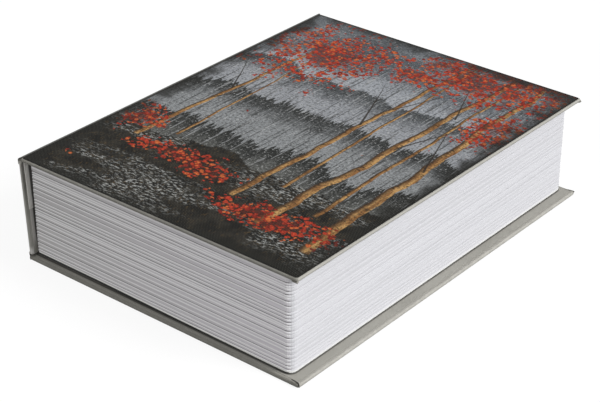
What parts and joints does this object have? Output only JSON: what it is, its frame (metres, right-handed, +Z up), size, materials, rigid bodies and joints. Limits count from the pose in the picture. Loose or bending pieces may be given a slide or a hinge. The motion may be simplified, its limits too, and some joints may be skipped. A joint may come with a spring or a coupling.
{
  "type": "book diversion safe",
  "caption": "Book-shaped diversion safe: cloth-bound folding cover round a moulded leaf block that holds a lidded steel box with a cam lock.",
  "frame": {"origin": "centre of the back board's underside, the face the closed book lies on", "axes": "+X from the spine to the fore edge, +Y from the tail to the head along the spine, +Z up from the back board to the front cover"},
  "size_m": [0.2028, 0.265, 0.0655],
  "materials": {
    "core_card": "matt",
    "cloth": "matt woven",
    "lining": "matt",
    "print": "satin print",
    "leaves": "satin",
    "black_paint": "satin powder coat",
    "zinc_steel": "zinc plated",
    "chrome": "bright"
  },
  "bodies": {
    "case": {"back_board": "core_card", "back_wrap": "cloth", "back_lining": "lining", "pages_shell": "leaves", "steel_box": "black_paint", "hinge_pin": "zinc_steel", "lock_strike": "zinc_steel", "box_screw_1": "zinc_steel", "box_screw_2": "zinc_steel", "box_screw_3": "zinc_steel", "box_screw_4": "zinc_steel"},
    "spine": {"spine_board": "core_card", "spine_wrap": "cloth", "spine_lining": "lining", "inner_hinge": "lining"},
    "front_cover": {"front_board": "core_card", "front_wrap": "cloth", "front_lining": "lining", "front_print": "print"},
    "lid": {"box_lid": "black_paint", "lock_cylinder": "chrome", "lock_washer": "zinc_steel", "lock_nut": "zinc_steel"},
    "lock": {"lock_plug": "chrome", "lock_cam": "zinc_steel", "cam_screw": "zinc_steel"}
  },
  "joints": [
    {"name": "spine_fold", "type": "hinge", "parent": "case", "child": "spine", "pos_m": [-0.1, 0, 0], "axis": [0, -1, 0], "range_deg": [0, 87.47]},
    {"name": "cover_fold", "type": "hinge", "parent": "spine", "child": "front_cover", "pos_m": [-0.1029, 0, 0.0655], "axis": [0, -1, 0], "range_deg": [0, 92.53]},
    {"name": "lid_open", "type": "hinge", "parent": "case", "child": "lid", "pos_m": [-0.085, 0, 0.05605], "axis": [0, -1, 0], "range_deg": [0, 92.53]},
    {"name": "lock_turn", "type": "hinge", "parent": "lid", "child": "lock", "pos_m": [0.0565, 0, 0.052], "axis": [0, 0, -1], "range_deg": [0, 90]}
  ],
  "couplings": [
    {"joint": "lid_open", "follows": "cover_fold", "ratio": 1}
  ]
}
